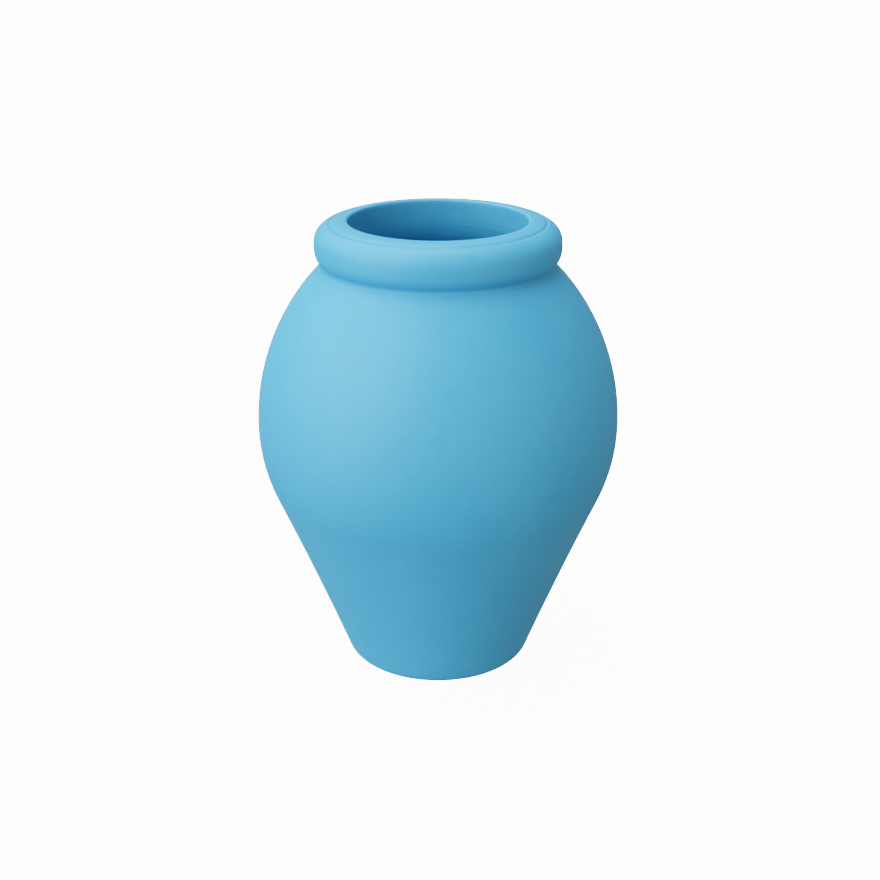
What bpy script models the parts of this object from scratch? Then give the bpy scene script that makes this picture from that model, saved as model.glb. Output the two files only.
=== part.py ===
"""A wide-mouthed amphora without handles, built up from turned clay sections.

The jar stands on the XY plane with its axis on +Z. From the bottom up it is a foot with the floor, a
leaning lower wall, a round belly that closes in to the shoulder, a short collar that forms the mouth, and a
thick roll of clay laid round the collar. Each section stands on the one below it: the lower one ends in a
tongue round its inner half, and the upper one laps down outside that tongue. The roll beds on the shoulder.
A hairline joint is left wherever two sections meet.

Every section is a profile in the XZ plane, turned about the Z axis by a Screw modifier that is then applied.
Units are metres.
"""

import math

import bpy

# Overall size. The height is that of the crown of the rim's section, and the mouth just cuts the crown away.
HEIGHT = 0.300
WALL = 0.0075
SEGMENTS = 64
JOINT_GAP = 0.0003

# Outline of the body: three arcs that run into each other without a corner
BELLY_RADIUS = 0.118
BELLY_HEIGHT = 0.1665
SHOULDER_ARC = 0.148
BELLY_ARC = 0.116
HOLLOW_ARC = 2.8
WALL_LEAN = math.radians(23.4)

# Foot and floor
FOOT_CORNER = 0.0105
FOOT_RING_INNER = 0.046
FOOT_RING_CHAMFER = 0.0015
RECESS_DEPTH = 0.003
FLOOR_TOP = 0.010
FLOOR_FILLET = 0.012

# Rim round the mouth: its section is a superellipse, an ellipse with squarer shoulders. A groove parts the
# collar, which is the inner part of the rim, from the roll, which is the outer part. Inside the mouth, one
# large round runs down from the lip into the shoulder.
MOUTH_RADIUS = 0.0571
NECK_ROUND = 0.025
LIP_ROUND = 0.0015
COLLAR_RADIUS = 0.068
GROOVE_ROUND = 0.0016
RIM_RADIUS = 0.0787
RIM_HALF_WIDTH = 0.0265
RIM_HALF_HEIGHT = 0.0158
RIM_POWER = 2.7

# Stepped joints between the sections
TONGUE = 0.004
LAP = 0.0032
BASE_JOINT = 0.028
NECK_RISER = 0.0640
NECK_TONGUE = 0.005

# How closely the arcs are followed
RING_SPACING = 0.0115
CORNER_STEPS = 4
GROOVE_STEPS = 3
LIP_STEPS = 3
NECK_STEPS = 4
ROLL_STEPS = 14

# Surface
SHARP_ANGLE = math.radians(35)
GLAZE_COLOUR = (0.115, 0.475, 0.720, 1.0)
GLAZE_ROUGHNESS = 0.55

# Worked out from the dimensions above
BELLY_CENTRE = BELLY_RADIUS - BELLY_ARC
WALL_JOINT = BELLY_HEIGHT - BELLY_ARC * math.sin(WALL_LEAN)
HOLLOW_CENTRE_R = BELLY_CENTRE + (BELLY_ARC + HOLLOW_ARC) * math.cos(WALL_LEAN)
HOLLOW_CENTRE_Z = BELLY_HEIGHT - (BELLY_ARC + HOLLOW_ARC) * math.sin(WALL_LEAN)
SHOULDER_CENTRE = BELLY_RADIUS - SHOULDER_ARC
RIM_CENTRE_R = RIM_RADIUS - RIM_HALF_WIDTH
RIM_CENTRE_Z = HEIGHT - RIM_HALF_HEIGHT


def wall_radius(z, depth=0.0):
    """Radius at height z of the body's outside or, with a depth, of the surface that far inside the wall."""
    if z >= BELLY_HEIGHT:
        return SHOULDER_CENTRE + math.sqrt((SHOULDER_ARC - depth) ** 2 - (z - BELLY_HEIGHT) ** 2)
    if z >= BELLY_HEIGHT - (BELLY_ARC - depth) * math.sin(WALL_LEAN):
        return BELLY_CENTRE + math.sqrt((BELLY_ARC - depth) ** 2 - (z - BELLY_HEIGHT) ** 2)
    return HOLLOW_CENTRE_R - math.sqrt((HOLLOW_ARC + depth) ** 2 - (z - HOLLOW_CENTRE_Z) ** 2)


def shoulder_height(radius, depth=0.0):
    """Height at which the shoulder, or the surface a depth inside it, has drawn in to a radius."""
    return BELLY_HEIGHT + math.sqrt((SHOULDER_ARC - depth) ** 2 - (radius - SHOULDER_CENTRE) ** 2)


NECK_JOINT = shoulder_height(COLLAR_RADIUS)
NECK_CENTRE_R = MOUTH_RADIUS + NECK_ROUND
NECK_CENTRE_Z = shoulder_height(NECK_CENTRE_R, WALL - NECK_ROUND)


def wall_points(*stops, depth=0.0):
    """Points of the body's outline through the given heights, which run all up or all down, ends included."""
    heights = []
    for start, end in zip(stops, stops[1:]):
        steps = max(1, round(abs(end - start) / RING_SPACING))
        heights += [start + (end - start) * i / steps for i in range(steps)]
    return [(wall_radius(z, depth), z) for z in [*heights, stops[-1]]]


def arc(centre, radius, start, end, steps=CORNER_STEPS):
    """Points of an arc between two angles, both included. Angle 0 points outwards and 90 degrees up."""
    angles = [start + (end - start) * i / steps for i in range(steps + 1)]
    return [(centre[0] + radius * math.cos(a), centre[1] + radius * math.sin(a)) for a in angles]


def corner(centre_height, radius, depth=0.0):
    """Arc that rounds the wall's bottom corner, from its surface at that depth down to horizontal."""
    centre = (wall_radius(centre_height, depth + radius), centre_height)
    lean = math.asin((centre_height - HOLLOW_CENTRE_Z) / (HOLLOW_ARC + depth + radius))
    return arc(centre, radius, -lean, math.radians(-90))


def tongue(ledge, riser, height=TONGUE):
    """Outer side of a lower section's tongue, from its tip down to the ledge outside it."""
    return [(riser, ledge + height), (riser, ledge)]


def lap(ledge, riser, height=TONGUE):
    """Inner side of an upper section's lap, from its lower edge up. It clears the tongue by the joint gap."""
    low = ledge + JOINT_GAP
    return [(riser + JOINT_GAP, low), (riser + JOINT_GAP, low + height)]


def riser_at(ledge):
    """Radius of the step in a wall joint."""
    return wall_radius(ledge) - LAP


def neck_angle(z):
    """How far round the inside of the neck has turned from upright at height z."""
    return math.asin((NECK_CENTRE_Z - z) / NECK_ROUND)


def neck_points(start, end, steps=NECK_STEPS):
    """Points of the inside of the neck between two angles from upright, both included."""
    turned_round = math.radians(180)
    return arc((NECK_CENTRE_R, NECK_CENTRE_Z), NECK_ROUND, turned_round + start, turned_round + end, steps)


def rim_point(angle):
    """Point on the rim's section. Angle 0 points outwards and 90 degrees up."""
    c, s = math.cos(angle), math.sin(angle)
    r = RIM_HALF_WIDTH * abs(c) ** (2 / RIM_POWER)
    z = RIM_HALF_HEIGHT * abs(s) ** (2 / RIM_POWER)
    return RIM_CENTRE_R + r, RIM_CENTRE_Z + math.copysign(z, s)


def rim_angle(radius):
    """Angle of the point on the rim's upper side that has a given radius."""
    return math.acos(((radius - RIM_CENTRE_R) / RIM_HALF_WIDTH) ** (RIM_POWER / 2))


def rim_points(start, end, steps):
    """Points of the rim's section between two angles, both included."""
    return [rim_point(start + (end - start) * i / steps) for i in range(steps + 1)]


def find_crease():
    """Angle at which the rim's underside runs into the shoulder, found by halving the range it lies in."""
    low, high = math.radians(-90), 0.0
    while high - low > 1e-9:
        middle = (low + high) / 2
        radius, z = rim_point(middle)
        if radius < wall_radius(z, -JOINT_GAP):
            low = middle
        else:
            high = middle
    return high


CREASE_ANGLE = find_crease()
CREASE_HEIGHT = rim_point(CREASE_ANGLE)[1]


def foot_section():
    """The floor, the foot ring under it and the first of the wall, in one piece."""
    tip = BASE_JOINT + TONGUE
    inner_corner = corner(FLOOR_TOP + FLOOR_FILLET, FLOOR_FILLET, WALL)
    return [
        (0.0, FLOOR_TOP),
        *reversed(inner_corner),
        (wall_radius(tip, WALL), tip),
        *tongue(BASE_JOINT, riser_at(BASE_JOINT)),
        (wall_radius(BASE_JOINT), BASE_JOINT),
        *corner(FOOT_CORNER, FOOT_CORNER),
        (FOOT_RING_INNER, 0.0),
        (FOOT_RING_INNER - FOOT_RING_CHAMFER, RECESS_DEPTH),
        (0.0, RECESS_DEPTH),
    ]


def wall_section(low_ledge, high_ledge):
    """A stretch of the leaning wall between two stepped joints."""
    return [
        *wall_points(low_ledge + TONGUE + JOINT_GAP, high_ledge + TONGUE, depth=WALL),
        *tongue(high_ledge, riser_at(high_ledge)),
        *wall_points(high_ledge, low_ledge + JOINT_GAP),
        *lap(low_ledge, riser_at(low_ledge)),
    ]


def belly_section():
    """The round belly and the shoulder, up to the seat of the collar."""
    slope = math.atan2(NECK_CENTRE_Z - BELLY_HEIGHT, NECK_CENTRE_R - SHOULDER_CENTRE)
    neck = neck_points(slope, neck_angle(NECK_JOINT + NECK_TONGUE))
    return [
        *wall_points(WALL_JOINT + TONGUE + JOINT_GAP, BELLY_HEIGHT, neck[0][1], depth=WALL),
        *neck[1:],
        *tongue(NECK_JOINT, NECK_RISER, NECK_TONGUE),
        *wall_points(NECK_JOINT, CREASE_HEIGHT, BELLY_HEIGHT, WALL_JOINT + JOINT_GAP),
        *lap(WALL_JOINT, riser_at(WALL_JOINT)),
    ]


def collar_section():
    """The short neck, whose top is the lip of the mouth."""
    lip_edge = MOUTH_RADIUS + LIP_ROUND
    groove_edge = COLLAR_RADIUS - GROOVE_ROUND
    top = rim_points(rim_angle(lip_edge), rim_angle(groove_edge), LIP_STEPS)
    return [
        *arc((lip_edge, top[0][1] - LIP_ROUND), LIP_ROUND, math.radians(180), math.radians(90))[:-1],
        *top,
        *arc((groove_edge, top[-1][1] - GROOVE_ROUND), GROOVE_ROUND, math.radians(90), 0.0, GROOVE_STEPS)[1:],
        (COLLAR_RADIUS, NECK_JOINT + JOINT_GAP),
        *lap(NECK_JOINT, NECK_RISER, NECK_TONGUE),
        *neck_points(neck_angle(NECK_JOINT + JOINT_GAP + NECK_TONGUE), 0.0, NECK_STEPS // 2),
    ]


def roll_section():
    """The thick roll outside the collar, bedded on the shoulder."""
    bore = COLLAR_RADIUS + JOINT_GAP
    groove_edge = bore + GROOVE_ROUND
    outside = rim_points(rim_angle(groove_edge), CREASE_ANGLE, ROLL_STEPS)
    groove_centre = (groove_edge, outside[0][1] - GROOVE_ROUND)
    seat = wall_points(CREASE_HEIGHT, shoulder_height(bore, -JOINT_GAP), depth=-JOINT_GAP)
    return [
        *arc(groove_centre, GROOVE_ROUND, math.radians(180), math.radians(90), GROOVE_STEPS)[:-1],
        *outside,
        *seat[1:],
    ]


def glaze():
    """Matte blue glaze, shared by all the sections."""
    material = bpy.data.materials.new("matte_blue_glaze")
    material.use_nodes = True
    shader = material.node_tree.nodes["Principled BSDF"]
    shader.inputs["Base Color"].default_value = GLAZE_COLOUR
    shader.inputs["Roughness"].default_value = GLAZE_ROUGHNESS
    shader.inputs["Metallic"].default_value = 0.0
    return material


def turn(name, section, material, collection, closed=True):
    """Turns a section about Z. An open section starts and ends on the axis."""
    links = [(i, i + 1) for i in range(len(section) - 1)]
    if closed:
        links.append((len(section) - 1, 0))
    mesh = bpy.data.meshes.new(name)
    mesh.from_pydata([(r, 0.0, z) for r, z in section], links, [])
    mesh.materials.append(material)
    piece = bpy.data.objects.new(name, mesh)
    collection.objects.link(piece)

    screw = piece.modifiers.new("turn", "SCREW")
    screw.axis = "Z"
    screw.angle = math.radians(360)
    screw.steps = SEGMENTS
    screw.render_steps = SEGMENTS
    screw.use_merge_vertices = True
    screw.merge_threshold = 0.00001

    turned = bpy.data.meshes.new_from_object(piece.evaluated_get(bpy.context.evaluated_depsgraph_get()))
    turned.shade_smooth()
    turned.set_sharp_from_angle(angle=SHARP_ANGLE)
    piece.modifiers.clear()
    piece.data = turned
    bpy.data.meshes.remove(mesh)
    turned.name = name


def build():
    """Clears the scene, then turns every section into its own object."""
    for leftover in list(bpy.data.objects):
        bpy.data.objects.remove(leftover)
    amphora = bpy.data.collections.new("amphora")
    bpy.context.scene.collection.children.link(amphora)
    material = glaze()

    turn("foot_base", foot_section(), material, amphora, closed=False)
    turn("lower_wall", wall_section(BASE_JOINT, WALL_JOINT), material, amphora)
    turn("belly_wall", belly_section(), material, amphora)
    turn("neck_collar", collar_section(), material, amphora)
    turn("rolled_rim", roll_section(), material, amphora)


build()
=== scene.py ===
"""Finished surface of a handle-less amphora: a turned clay jar with a thick rolled rim, in matte blue glaze.

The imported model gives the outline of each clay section. Here every outline is read from the model, smoothed
into curves, closed where neighbouring sections meet, softened in the groove and under the roll, and turned
again as one fine piece per section. All lengths are in metres, and sections are drawn in a half plane whose
points are (radius, height, 0).
"""

import math

import bmesh
import bpy
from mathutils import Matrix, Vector
from mathutils.kdtree import KDTree


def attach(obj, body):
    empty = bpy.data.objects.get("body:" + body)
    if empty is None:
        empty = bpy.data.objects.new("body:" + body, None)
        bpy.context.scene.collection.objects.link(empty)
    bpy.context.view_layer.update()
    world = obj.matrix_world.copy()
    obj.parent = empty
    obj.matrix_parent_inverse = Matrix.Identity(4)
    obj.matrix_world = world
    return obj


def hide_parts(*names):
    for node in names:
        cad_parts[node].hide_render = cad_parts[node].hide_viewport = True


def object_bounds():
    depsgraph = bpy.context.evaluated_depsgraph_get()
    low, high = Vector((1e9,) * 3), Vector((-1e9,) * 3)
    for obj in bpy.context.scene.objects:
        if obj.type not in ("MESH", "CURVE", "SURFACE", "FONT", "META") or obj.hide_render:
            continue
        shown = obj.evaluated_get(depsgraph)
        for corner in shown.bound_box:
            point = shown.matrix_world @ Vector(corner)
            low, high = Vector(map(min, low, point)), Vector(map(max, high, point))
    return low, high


# Fineness of the outlines and of the turned pieces. A corner is where an outline turns more than CORNER_TURN.
# A span LONG_SPAN times as long as the next one is straight. Points nearer the axis than ON_AXIS are on it.
OUTLINE_STEP = 0.0005
LONGEST_STEP = 0.0030
MOST_TURN = math.radians(4)
CORNER_TURN = math.radians(40)
LONG_SPAN = 3.0
SEGMENTS = 192
ON_AXIS = 1e-6

# How near two sections lie across a joint, and how near their edges lie where the joint comes to the surface
JOINT_REACH = 0.00055
SEAM_REACH = 0.0018

# Joints that show, with the distance over which slip and glaze round them and how many rounds of smoothing
SOFT_SEAMS = {
    frozenset(("neck_collar", "rolled_rim")): (0.0020, 4),
    frozenset(("belly_wall", "rolled_rim")): (0.0032, 10),
}

# A bend is measured over this many points on each side, and this angle or more counts as a full one
BEND_REACH = 3
FULL_BEND = math.radians(60)

# Glaze colours: outside, where it lies thin and thick; in the mottle, and over edges, where it lies thinner
# and a highlight is painted; pooled in the groove and the crease, with painted shade there too; and inside
# the jar, at the lip and deep down, painted less blue and paler as painted light against the shade and blue
# bounced light in there
GLAZE_THIN = (0.091, 0.365, 0.727)
GLAZE_THICK = (0.083, 0.351, 0.713)
GLAZE_PALE_AND_HIGHLIGHT = (0.122, 0.410, 0.760)
GLAZE_DEEP = (0.055, 0.280, 0.610)
GLAZE_POOLED_AND_SHADE = (0.072, 0.310, 0.530)
GLAZE_LIP_PAINTED_LIGHT = (0.078, 0.318, 0.550)
GLAZE_INSIDE_PAINTED_LIGHT = (0.170, 0.620, 0.860)

# Values of the mottle and of the bend between which those colours come in, and how much of them, from and to
PALE_MOTTLE = (0.50, 0.80, 0.0, 0.16)
DEEP_MOTTLE = (0.50, 0.20, 0.0, 0.12)
# Over edges the glaze is thinner, and a highlight is painted
THIN_GLAZE_AND_HIGHLIGHT_EDGE = (0.15, 0.90, 0.0, 0.25)
# In the groove and the crease the glaze pools, and shade is painted
POOLED_AND_SHADED_HOLLOW = (-0.03, -0.25, 0.0, 0.32)

# Depths below the top of the jar where the outside colour gives way to the lip's, and that to the inside's.
# Both
# inside colours are painted light: less blue, and paler further down, against the shade and the blue bounced
# light in the jar
PAINTED_LIP_DEPTHS = (0.0005, 0.0035)
PAINTED_INSIDE_DEPTHS = (0.008, 0.045)

# Range that most of a pattern's values are in, and the features of each pattern in a metre. The throwing
# rings are long round the jar and narrow up it.
NOISE_RANGE = (0.3, 0.7)
CLOUD_SCALE = 14.0
MOTTLE_SCALE = 170.0
GRAIN_SCALE = 1500.0
THROWING_SCALES = (9.0, 9.0, 230.0)

# Heights of the relief's patterns, and its overall strength
THROWING_RELIEF = 0.00010
MOTTLE_RELIEF = 0.00002
GRAIN_RELIEF = 0.000004
RELIEF_STRENGTH = 0.5

# Gloss of the glaze, from its smoother to its rougher patches, and how much rougher bare clay is
GLAZE_ROUGHNESS = (0.46, 0.54)
CLAY_ROUGHER = 0.35
GLAZE_SPECULAR = 0.35

# Bare clay of the foot ring. The glaze ends between these heights, along a slightly ragged line.
CLAY_LIGHT = (0.62, 0.50, 0.37)
CLAY_DARK = (0.52, 0.40, 0.29)
WIPED_HEIGHTS = (0.0012, 0.0006)
WIPED_RAGGED = 0.0008

# Floor and the dome over it: how far away, how many segments round it, its colour and how much it glows
FLOOR_RADIUS = 12.0
FLOOR_SEGMENTS = 96
FLOOR_WHITE = (0.90, 0.90, 0.90)
FLOOR_GLOW = 6.0

# Light colours: the lights from the left are a little cool and the fill from all other sides a little warm
COOL = (1.0, 1.0, 1.07)
WARM = (1.0, 1.0, 0.82)

# Lights: name, degrees to the right of the camera's side, degrees up, degrees wide, strength, colour
LIGHTS = (
    ("key", -34, 35, 30, 1.10, COOL),
    ("left", -90, 35, 60, 1.10, COOL),
    ("low_left", -60, 5, 60, 1.45, COOL),
    ("back_left", -135, 65, 60, 1.80, COOL),
    ("top", 0, 90, 60, 0.80, COOL),
    ("right_fill", 45, 10, 60, 0.66, WARM),
    ("floor_bounce", -30, -25, 60, 0.14, WARM),
)
WORLD_STRENGTH = 0.26

# Camera: how far down it looks, how many jar heights away it stands, its lens and sensor in millimetres, and
# the shift of its frame
CAMERA_PITCH = math.radians(21.3)
CAMERA_HEIGHTS_AWAY = 3.324
LENS = 61.364
SENSOR_WIDTH = 36.0
SIDE_SHIFT = 0.0022
RISE_SHIFT = 0.0011


# ---- Outlines ----------------------------------------------------------------------------------------------

def section(mesh):
    """Outline of a turned mesh in the half plane y = 0, x > 0, as points (radius, height, 0) in order."""
    links = {}
    for edge in mesh.edges:
        ends = [mesh.vertices[i].co for i in edge.vertices]
        if all(abs(end.y) < 1e-7 and end.x > 0 for end in ends):
            a, b = ((round(end.x, 7), round(end.z, 7)) for end in ends)
            if a != b:
                links.setdefault(a, set()).add(b)
                links.setdefault(b, set()).add(a)
    tips = sorted(point for point, near in links.items() if len(near) == 1)
    walk = [tips[-1] if tips else min(links)]
    while onward := sorted(links[walk[-1]].difference(walk)):
        walk.append(onward[0])
    if tips:
        walk = [(0.0, walk[0][1]), *walk, (0.0, walk[-1][1])]
    outline = [Vector((radius, height, 0.0)) for radius, height in walk]
    return outline if signed_area(outline) < 0 else outline[::-1]


def signed_area(outline):
    """Area of a closed outline. It is negative where the outer side runs down, as every outline here does."""
    return sum(a.x * b.y - b.x * a.y for a, b in zip(outline, outline[1:] + outline[:1])) / 2


def turn_at(before, point, after):
    """Angle by which an outline turns at a point. It is positive where the surface bulges."""
    a, b = point - before, after - point
    return -math.atan2(a.x * b.y - a.y * b.x, a.x * b.x + a.y * b.y)


def tangent_at(before, point, after):
    """Direction of the curve through a point, or None at a corner.

    A span that is long beside its neighbour is straight, so it sets the direction.
    """
    a, b = point - before, after - point
    if abs(turn_at(before, point, after)) > CORNER_TURN:
        return None
    if b.length > LONG_SPAN * a.length:
        return b.normalized()
    if a.length > LONG_SPAN * b.length:
        return a.normalized()
    return (after - before).normalized()


def curve(start, end, leaving, arriving):
    """Points from start, included, to end, left out, on a curve with these directions at its ends."""
    chord = end - start
    along = chord.normalized()
    if leaving is None and arriving is None:
        leaving = arriving = along
    elif leaving is None:
        leaving = 2 * arriving.dot(along) * along - arriving
    elif arriving is None:
        arriving = 2 * leaving.dot(along) * along - leaving
    steps = max(1, round(chord.length / OUTLINE_STEP))
    points = []
    for i in range(steps):
        t = i / steps
        points.append(
            (2 * t**3 - 3 * t**2 + 1) * start
            + (t**3 - 2 * t**2 + t) * chord.length * leaving
            + (3 * t**2 - 2 * t**3) * end
            + (t**3 - t**2) * chord.length * arriving
        )
    return points


def smoothed(outline):
    """The closed outline followed by curves through its points, with its corners kept."""
    count = len(outline)
    tangents = [tangent_at(outline[i - 1], outline[i], outline[(i + 1) % count]) for i in range(count)]
    points = []
    for i in range(count):
        j = (i + 1) % count
        points += curve(outline[i], outline[j], tangents[i], tangents[j])
    outer, low, high = max(p.x for p in outline), min(p.y for p in outline), max(p.y for p in outline)
    return [Vector((min(max(p.x, 0.0), outer), min(max(p.y, low), high), 0.0)) for p in points]


def tree_of(points):
    """Search tree of points."""
    tree = KDTree(len(points))
    for i, point in enumerate(points):
        tree.insert(point, i)
    tree.balance()
    return tree


def open_runs(name, outlines):
    """Stretches of a section's outline that face no other section across a joint, as lists of indices."""
    outline = outlines[name]
    count = len(outline)
    others = tree_of([p for other, points in outlines.items() if other != name for p in points])
    shows = []
    for i in range(count):
        middle = (outline[i] + outline[(i + 1) % count]) / 2
        _, _, gap = others.find(middle)
        shows.append(gap > JOINT_REACH)
    runs = []
    for first in (i for i in range(count) if shows[i] and not shows[i - 1]):
        run = [first]
        while shows[run[-1] % count]:
            run.append((run[-1] + 1) % count)
        runs.append(run)
    return runs


def join_skin(outlines):
    """Joins the open stretches of all sections end to end, and gives both sides of each seam the same point.

    Returns the skin, which is a closed ring of points, and {pair of sections: places of their seams in it}.
    """
    stretches = [(name, run) for name in outlines for run in open_runs(name, outlines)]
    ring, seams = [], {}
    name, run = stretches[0]
    for _ in stretches:
        end = outlines[name][run[-1]]
        following, next_run = min(
            ((other, far) for other, far in stretches if other != name),
            key=lambda stretch: (outlines[stretch[0]][stretch[1][0]] - end).length,
        )
        start = outlines[following][next_run[0]]
        if (start - end).length > SEAM_REACH:
            raise ValueError(f"no section meets the end of {name} at {end}")
        ring += [outlines[name][i] for i in run[:-1]]
        seams.setdefault(frozenset((name, following)), []).append(len(ring))
        end.xy = (start + end).xy / 2
        outlines[following][next_run[0]] = end
        name, run = following, next_run
    ring[0] = end
    return ring, seams


def soften(ring, seam, reach, rounds):
    """Rounds the ring of points near a seam, less and less towards the given distance from it."""
    count = len(ring)
    corner = ring[seam].copy()
    near = []
    for i in range(seam - count // 4, seam + count // 4):
        distance = (ring[i % count] - corner).length
        if distance < reach:
            near.append((i % count, 1 - (distance / reach) ** 2))
    for _ in range(rounds):
        middles = [(ring[i - 1] + ring[(i + 1) % count]) / 2 for i, _ in near]
        for (i, weight), middle in zip(near, middles):
            ring[i].xy = ring[i].lerp(middle, weight).xy


def bends(ring):
    """How sharply the skin bends at each point: 1 at a sharp edge, -1 in a deep groove, 0 where plain."""
    count = len(ring)
    found = []
    for i in range(count):
        turn = turn_at(ring[i - BEND_REACH], ring[i], ring[(i + BEND_REACH) % count])
        found.append(max(-1.0, min(1.0, turn / FULL_BEND)))
    return found


def depths(ring):
    """How far each point of the skin's inner side lies below the top of the jar. The outer side has 0."""
    count = len(ring)
    top = max(range(count), key=lambda i: ring[i].y)
    bottom = max((i for i in range(count) if ring[i].x < ON_AXIS), key=lambda i: ring[i].y)
    found = [0.0] * count
    for step in range((top - bottom) % count):
        place = (bottom + step) % count
        found[place] = ring[top].y - ring[place].y
    return found


def thinned(outline, kept):
    """The outline with only the points that its curves need, and those in kept."""
    count = len(outline)
    points, length, turn = [], 0.0, 0.0
    for i in range(count):
        before, point, after = outline[i - 1], outline[i], outline[(i + 1) % count]
        length += (point - before).length
        here = abs(turn_at(before, point, after))
        ahead = (after - point).length
        turn += here
        if turn > MOST_TURN or length + ahead > LONGEST_STEP or id(point) in kept or not points:
            points.append(point)
            length, turn = 0.0, 0.0
    return points


# ---- Turned pieces -----------------------------------------------------------------------------------------

def turned(name, outline, skin, skin_values):
    """Turns a closed outline about Z as a mesh object. Points on the axis become one vertex each.

    Each point takes the values of the skin's point nearest to it.
    """
    vertices, rings = [], []
    values = {kind: [] for kind in skin_values}
    for point in outline:
        _, place, _ = skin.find(point)
        spread = 1 if point.x < ON_AXIS else SEGMENTS
        rings.append([len(vertices) + k % spread for k in range(SEGMENTS + 1)])
        for k in range(spread):
            angle = 2 * math.pi * k / SEGMENTS
            vertices.append((point.x * math.cos(angle), point.x * math.sin(angle), point.y))
        for kind, found in skin_values.items():
            values[kind] += [found[place]] * spread

    faces = []
    for ring, following in zip(rings, rings[1:] + rings[:1]):
        for k in range(SEGMENTS):
            corners = [ring[k], following[k], following[(k + 1) % SEGMENTS], ring[(k + 1) % SEGMENTS]]
            face = list(dict.fromkeys(corners))
            if len(face) > 2:
                faces.append(face)
    mesh = bpy.data.meshes.new(name)
    mesh.from_pydata(vertices, [], faces)
    for kind, found in values.items():
        mesh.attributes.new(kind, "FLOAT", "POINT").data.foreach_set("value", found)
    mesh.shade_smooth()
    mesh.set_sharp_from_angle(angle=CORNER_TURN)
    piece = bpy.data.objects.new(name, mesh)
    bpy.context.scene.collection.objects.link(piece)
    return piece


def jar_pieces(nodes):
    """One finished piece for each clay section of the model."""
    outlines = {name: smoothed(section(node.data)) for name, node in nodes.items()}
    ring, seams = join_skin(outlines)
    for pair, (reach, rounds) in SOFT_SEAMS.items():
        for seam in seams[pair]:
            soften(ring, seam % len(ring), reach, rounds)
    kept = {id(ring[place % len(ring)]) for places in seams.values() for place in places}
    skin, skin_values = tree_of(ring), {"bend": bends(ring), "depth": depths(ring)}
    glaze = glaze_material()
    for name, outline in outlines.items():
        piece = turned(f"glazed_{name}", thinned(outline, kept), skin, skin_values)
        piece.data.materials.append(glaze)
        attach(piece, "root")
        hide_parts(name)


# ---- Materials ---------------------------------------------------------------------------------------------

class Shading:
    """A new node material, with short calls for the nodes that the materials here need.

    A value is either a node's output, or a plain number or colour.
    """

    def __init__(self, name):
        self.material = bpy.data.materials.new(name)
        self.material.use_nodes = True
        self.nodes = self.material.node_tree.nodes
        self.links = self.material.node_tree.links
        self.shader = self.nodes["Principled BSDF"]

    def feed(self, socket, value):
        """Gives a socket its value."""
        if isinstance(value, bpy.types.NodeSocket):
            self.links.new(value, socket)
        elif isinstance(value, tuple):
            socket.default_value = (*value, 1.0)
        else:
            socket.default_value = value

    def place(self):
        """Position on the piece."""
        return self.nodes.new("ShaderNodeTexCoord").outputs["Object"]

    def height(self):
        """Height above the floor."""
        node = self.nodes.new("ShaderNodeSeparateXYZ")
        self.feed(node.inputs["Vector"], self.place())
        return node.outputs["Z"]

    def attribute(self, name):
        """Value that the mesh holds at each point."""
        node = self.nodes.new("ShaderNodeAttribute")
        node.attribute_name = name
        return node.outputs["Fac"]

    def noise(self, scales, detail=2.0):
        """Noise with this many features in a metre along each axis."""
        mapping = self.nodes.new("ShaderNodeMapping")
        mapping.inputs["Scale"].default_value = scales
        self.feed(mapping.inputs["Vector"], self.place())
        node = self.nodes.new("ShaderNodeTexNoise")
        node.inputs["Scale"].default_value = 1.0
        node.inputs["Detail"].default_value = detail
        node.inputs["Roughness"].default_value = 0.5
        self.feed(node.inputs["Vector"], mapping.outputs["Vector"])
        return node.outputs["Fac"]

    def mapped(self, value, low, high, to_low=0.0, to_high=1.0):
        """The value's range from low to high, mapped smoothly to the second range."""
        node = self.nodes.new("ShaderNodeMapRange")
        node.interpolation_type = "SMOOTHSTEP"
        ranges = {"Value": value, "From Min": low, "From Max": high, "To Min": to_low, "To Max": to_high}
        for name, number in ranges.items():
            self.feed(node.inputs[name], number)
        return node.outputs["Result"]

    def combined(self, operation, first, second):
        """Result of a calculation on two values."""
        node = self.nodes.new("ShaderNodeMath")
        node.operation = operation
        self.feed(node.inputs[0], first)
        self.feed(node.inputs[1], second)
        return node.outputs["Value"]

    def blended(self, amount, first, second):
        """Colour between two others. An amount of 0 gives the first and 1 the second."""
        node = self.nodes.new("ShaderNodeMix")
        node.data_type = "RGBA"
        colours = [socket for socket in node.inputs if socket.type == "RGBA"]
        self.feed(node.inputs["Factor"], amount)
        self.feed(colours[0], first)
        self.feed(colours[1], second)
        return next(socket for socket in node.outputs if socket.type == "RGBA")


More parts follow.
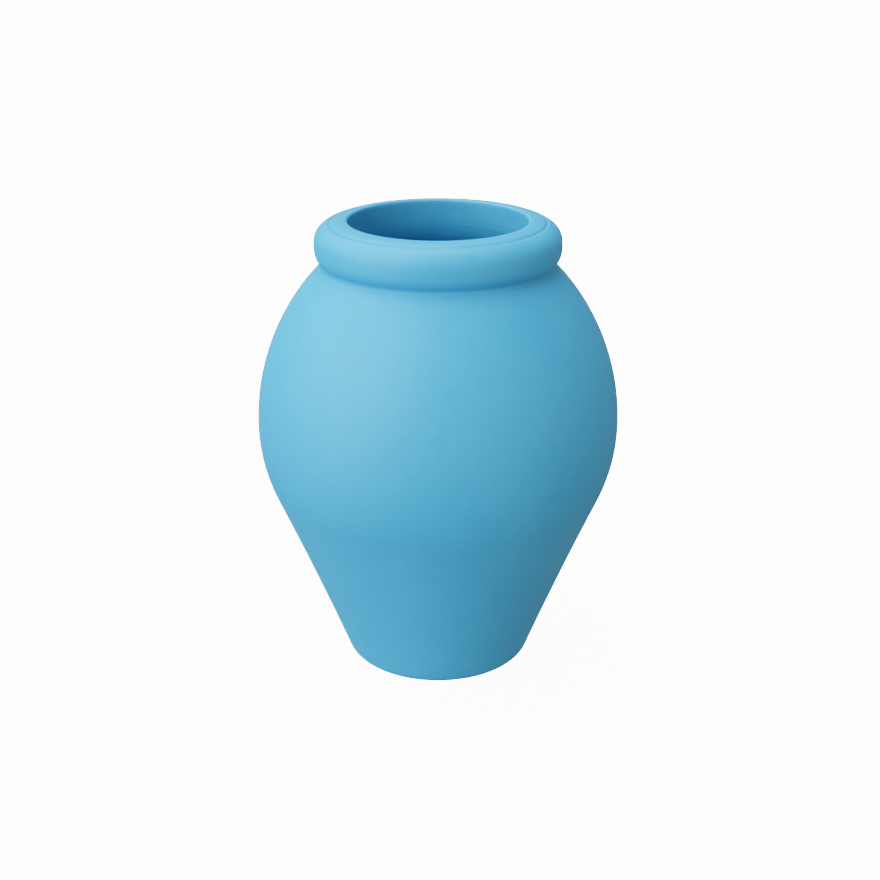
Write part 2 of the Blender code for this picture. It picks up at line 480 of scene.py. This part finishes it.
def glaze_material():
    """Matte blue glaze over fired clay, wiped off the foot ring.

    It pools a little deeper in colour where the surface is hollow, which is also painted shade in the groove
    and the crease, and lies thinner and paler over edges, which is also a painted highlight. Inside the jar
    it is painted less blue, and paler further down, as painted light against the shade and the blue bounced
    light in there. The rest is
    faint: broad clouds where it was laid on unevenly, a fine mottle, a finer grain, and the traces of the
    potter's fingers round the clay under it.
    """
    glaze = Shading("matte_blue_glaze")
    bend, depth = glaze.attribute("bend"), glaze.attribute("depth")
    clouds = glaze.noise((CLOUD_SCALE,) * 3, 3.0)
    mottle = glaze.noise((MOTTLE_SCALE,) * 3, 3.0)
    grain = glaze.noise((GRAIN_SCALE,) * 3)
    throwing = glaze.noise(THROWING_SCALES)

    outside = glaze.blended(glaze.mapped(clouds, *NOISE_RANGE), GLAZE_THIN, GLAZE_THICK)
    # Inside colours are painted light: less blue, and paler further down, against the shade and blue bounced
    # light in the jar
    inside_painted_light = glaze.blended(glaze.mapped(depth, *PAINTED_INSIDE_DEPTHS), GLAZE_LIP_PAINTED_LIGHT, GLAZE_INSIDE_PAINTED_LIGHT)
    colour = glaze.blended(glaze.mapped(depth, *PAINTED_LIP_DEPTHS), outside, inside_painted_light)
    colour = glaze.blended(glaze.mapped(mottle, *PALE_MOTTLE), colour, GLAZE_PALE_AND_HIGHLIGHT)
    colour = glaze.blended(glaze.mapped(mottle, *DEEP_MOTTLE), colour, GLAZE_DEEP)
    # Paler over edges: thinner glaze, and a painted highlight
    colour = glaze.blended(glaze.mapped(bend, *THIN_GLAZE_AND_HIGHLIGHT_EDGE), colour, GLAZE_PALE_AND_HIGHLIGHT)
    # Deeper in the groove and the crease: pooled glaze, and painted shade
    colour = glaze.blended(glaze.mapped(bend, *POOLED_AND_SHADED_HOLLOW), colour, GLAZE_POOLED_AND_SHADE)

    ragged_height = glaze.combined("ADD", glaze.height(), glaze.combined("MULTIPLY", mottle, WIPED_RAGGED))
    wiped = glaze.mapped(ragged_height, *WIPED_HEIGHTS)
    clay = glaze.blended(grain, CLAY_DARK, CLAY_LIGHT)
    glaze.feed(glaze.shader.inputs["Base Color"], glaze.blended(wiped, colour, clay))

    satin = glaze.mapped(mottle, *NOISE_RANGE, *GLAZE_ROUGHNESS)
    roughness = glaze.combined("ADD", satin, glaze.combined("MULTIPLY", wiped, CLAY_ROUGHER))
    glaze.feed(glaze.shader.inputs["Roughness"], roughness)
    glaze.feed(glaze.shader.inputs["Specular IOR Level"], GLAZE_SPECULAR)

    relief = glaze.combined("MULTIPLY", throwing, THROWING_RELIEF)
    for pattern, amount in ((mottle, MOTTLE_RELIEF), (grain, GRAIN_RELIEF)):
        relief = glaze.combined("ADD", relief, glaze.combined("MULTIPLY", pattern, amount))
    bump = glaze.nodes.new("ShaderNodeBump")
    glaze.feed(bump.inputs["Strength"], RELIEF_STRENGTH)
    glaze.feed(bump.inputs["Distance"], 1.0)
    glaze.feed(bump.inputs["Height"], relief)
    glaze.feed(glaze.shader.inputs["Normal"], bump.outputs["Normal"])
    return glaze.material


def floor_material():
    """Plain white, bright enough of its own to stay white where the lights fade."""
    white = Shading("white_floor")
    white.feed(white.shader.inputs["Base Color"], FLOOR_WHITE)
    white.feed(white.shader.inputs["Roughness"], 1.0)
    white.feed(white.shader.inputs["Specular IOR Level"], 0.0)
    white.feed(white.shader.inputs["Emission Color"], (1.0, 1.0, 1.0))
    white.feed(white.shader.inputs["Emission Strength"], FLOOR_GLOW)
    return white.material


# ---- Studio ------------------------------------------------------------------------------------------------

def make_floor(radius):
    """A plain white floor under the jar, which runs up into a white dome far away all round.

    Only the camera sees it, so it neither shades nor lights the jar.
    """
    shape = bmesh.new()
    bmesh.ops.create_uvsphere(
        shape, u_segments=FLOOR_SEGMENTS, v_segments=FLOOR_SEGMENTS // 2, radius=radius
    )
    for corner in shape.verts:
        corner.co.z = max(corner.co.z, 0.0)
    mesh = bpy.data.meshes.new("floor")
    shape.to_mesh(mesh)
    shape.free()
    mesh.materials.append(floor_material())
    floor = bpy.data.objects.new("floor", mesh)
    floor.visible_diffuse = False
    floor.visible_glossy = False
    floor.visible_shadow = False
    bpy.context.scene.collection.objects.link(floor)


def add_light(name, azimuth, elevation, spread, strength, colour):
    """Soft light from far away, spread degrees wide. Azimuth is degrees to the right of the camera."""
    a, e = math.radians(azimuth), math.radians(elevation)
    away = Vector((math.sin(a) * math.cos(e), -math.cos(a) * math.cos(e), math.sin(e)))
    light = bpy.data.lights.new(name, "SUN")
    light.angle = math.radians(spread)
    light.energy = strength
    light.color = colour
    lamp = bpy.data.objects.new(name, light)
    lamp.rotation_euler = away.to_track_quat("Z", "Y").to_euler()
    bpy.context.scene.collection.objects.link(lamp)


def make_world(strength):
    """Even soft light from all round."""
    world = bpy.data.worlds.new("studio")
    world.use_nodes = True
    background = world.node_tree.nodes["Background"]
    background.inputs["Color"].default_value = (*WARM, 1.0)
    background.inputs["Strength"].default_value = strength
    bpy.context.scene.world = world


def make_camera(height):
    """Camera in front of the jar and above it, aimed at half the jar's height."""
    distance = CAMERA_HEIGHTS_AWAY * height
    data = bpy.data.cameras.new("camera")
    data.sensor_width = SENSOR_WIDTH
    data.lens = LENS
    data.shift_x = SIDE_SHIFT
    data.shift_y = RISE_SHIFT
    camera = bpy.data.objects.new("camera", data)
    camera.location = (
        0.0,
        -distance * math.cos(CAMERA_PITCH),
        height / 2 + distance * math.sin(CAMERA_PITCH),
    )
    camera.rotation_euler = (math.radians(90) - CAMERA_PITCH, 0.0, 0.0)
    bpy.context.scene.collection.objects.link(camera)
    bpy.context.scene.camera = camera


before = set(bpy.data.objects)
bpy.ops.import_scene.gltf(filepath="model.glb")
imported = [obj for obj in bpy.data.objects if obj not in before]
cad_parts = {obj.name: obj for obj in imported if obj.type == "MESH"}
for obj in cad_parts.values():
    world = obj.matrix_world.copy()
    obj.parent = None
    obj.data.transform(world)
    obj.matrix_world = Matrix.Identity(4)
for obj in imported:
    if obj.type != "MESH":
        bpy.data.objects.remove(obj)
cad_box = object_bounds()

jar_pieces(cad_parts)
make_floor(FLOOR_RADIUS)
make_camera(cad_box[1].z)
make_world(WORLD_STRENGTH)
for light in LIGHTS:
    add_light(*light)
bpy.context.scene.view_settings.view_transform = "Filmic"
bpy.context.scene.view_settings.look = "High Contrast"
